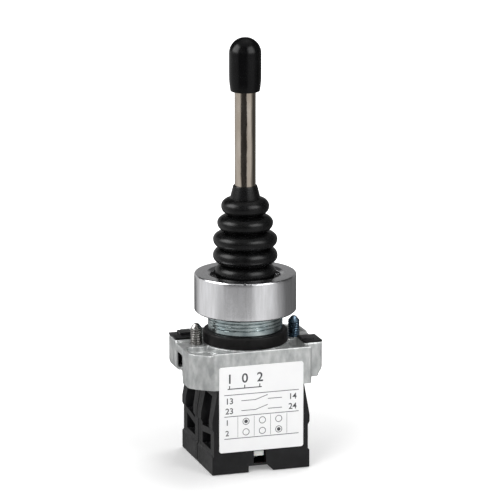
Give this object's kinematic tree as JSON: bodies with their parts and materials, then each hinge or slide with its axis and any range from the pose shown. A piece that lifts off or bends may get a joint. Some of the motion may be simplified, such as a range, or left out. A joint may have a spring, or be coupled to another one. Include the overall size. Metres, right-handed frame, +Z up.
{
  "type": "panel lever switch",
  "caption": "Panel-mounted lever switch: a rod with grip cap and bellows boot tilts to either side of centre and works a contact block on each side.",
  "frame": {"origin": "centre of the footprint, at the feet of the contact blocks", "axes": "+Z up along the lever, -Y towards the labelled front, +X to the right of the label"},
  "size_m": [0.041, 0.0313, 0.1261],
  "materials": {
    "bezel_metal": "satin plated die casting",
    "zinc_plate": "turned thread, bluish zinc plate",
    "zinc_casting": "matt cast zinc alloy",
    "plain_steel": "bright steel",
    "blue_zinc": "dark blue zinc plate",
    "rod_chrome": "polished nickel plate",
    "contact_brass": "stamped brass with silvered rivets",
    "black_rubber": "moulded rubber, soft sheen",
    "seal_rubber": "matt rubber",
    "grip_vinyl": "dipped glossy vinyl",
    "black_plastic": "moulded polyamide, fine grain",
    "white_nylon": "natural nylon",
    "label_white": "printed film"
  },
  "bodies": {
    "base": {"bezel_ring": "bezel_metal", "panel_gasket": "black_rubber", "threaded_bush": "zinc_plate", "boot_clamp_ring": "plain_steel", "boot": "black_rubber", "pivot_pin": "plain_steel", "thrust_washers": "plain_steel", "friction_washers": "plain_steel", "seal_ring": "seal_rubber", "collar": "zinc_casting", "clamp_screws": "blue_zinc", "guide_carrier": "black_plastic", "side_latches": "black_plastic", "front_block_housing": "black_plastic", "rear_block_housing": "black_plastic", "front_block_cover": "black_plastic", "rear_block_cover": "black_plastic", "front_return_spring": "plain_steel", "rear_return_spring": "plain_steel", "front_fixed_contacts": "contact_brass", "rear_fixed_contacts": "contact_brass", "front_terminal_clamps": "plain_steel", "rear_terminal_clamps": "plain_steel", "front_terminal_screws": "plain_steel", "rear_terminal_screws": "plain_steel", "rating_label": "label_white"},
    "lever": {"lever_rod": "rod_chrome", "grip_cap": "grip_vinyl", "pivot_hub": "zinc_casting", "pusher_plate": "plain_steel"},
    "front_slide": {"front_pusher": "white_nylon", "front_plunger": "white_nylon", "front_contact_bridge": "contact_brass", "front_contact_spring": "plain_steel"},
    "rear_slide": {"rear_pusher": "white_nylon", "rear_plunger": "white_nylon", "rear_contact_bridge": "contact_brass", "rear_contact_spring": "plain_steel"}
  },
  "joints": [
    {"name": "lever_tilt", "type": "hinge", "parent": "base", "child": "lever", "pos_m": [0, 0, 0.0493], "axis": [1, 0, 0], "range_deg": [-15, 15], "deforming": ["boot"]},
    {"name": "front_press", "type": "slide", "parent": "base", "child": "front_slide", "axis": [0, 0, 1], "range_m": [-0.00136, 0.00136], "deforming": ["front_return_spring"]},
    {"name": "rear_press", "type": "slide", "parent": "base", "child": "rear_slide", "axis": [0, 0, 1], "range_m": [-0.00136, 0.00136], "deforming": ["rear_return_spring"]}
  ],
  "couplings": [
    {"joint": "front_press", "follows": "lever_tilt", "m_per_rad": -0.0051172},
    {"joint": "rear_press", "follows": "lever_tilt", "m_per_rad": 0.0051172}
  ]
}
